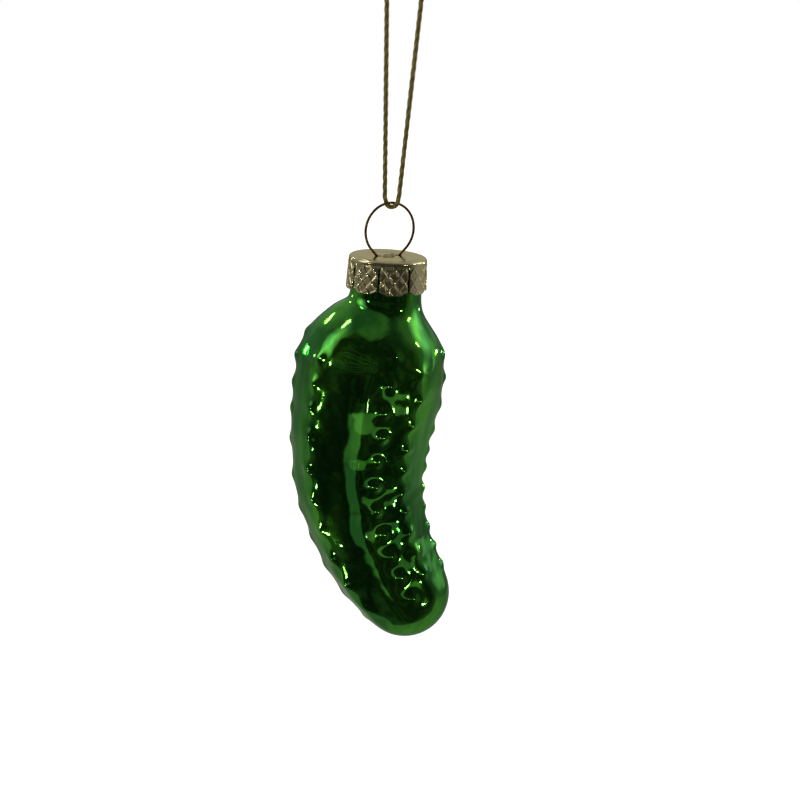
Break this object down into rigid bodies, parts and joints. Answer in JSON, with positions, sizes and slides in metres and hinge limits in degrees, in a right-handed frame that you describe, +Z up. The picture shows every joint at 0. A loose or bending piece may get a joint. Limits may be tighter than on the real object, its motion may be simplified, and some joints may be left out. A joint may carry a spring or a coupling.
{
  "type": "pickle ornament",
  "caption": "Hollow blown-glass pickle, bent and softly warted, hung from a stamped slit cap by a sprung wire loop and a knotted metallic cord; the cap pulls off the neck.",
  "frame": {"origin": "the hanging point: inside the top of the cord loop, just under its knot", "axes": "+Z up along the neck and the hanging cord, +X to the side the blossom end bends to, -Y to the viewer"},
  "size_m": [0.0366, 0.0319, 0.1576],
  "materials": {
    "silvered_green_glass": "blown glass, silvered inside, transparent green lacquer, gloss",
    "champagne_sheet_metal": "stamped sheet, pale gold, satin to bright",
    "gold_wire": "drawn wire, bright",
    "gold_cord": "twisted metallic yarn"
  },
  "bodies": {
    "cord": {"hanging_cord": "gold_cord", "cord_knot": "gold_cord"},
    "hanger": {"hanger_wire": "gold_wire"},
    "cap": {"cap": "champagne_sheet_metal"},
    "glass": {"glass_body": "silvered_green_glass"}
  },
  "joints": [
    {"name": "ring_swing", "type": "hinge", "parent": "cord", "child": "hanger", "pos_m": [0, 0, -0.0607], "axis": [-0.5, 0.866, 0], "range_deg": [-60, 60]},
    {"name": "hanger_rock", "type": "hinge", "parent": "hanger", "child": "cap", "pos_m": [0, 0, -0.06631], "axis": [0.866, 0.5, 0], "range_deg": [-9, 9]},
    {"name": "cap_pull", "type": "slide", "parent": "cap", "child": "glass", "axis": [0, 0, -1], "range_m": [0, 0.018]}
  ]
}
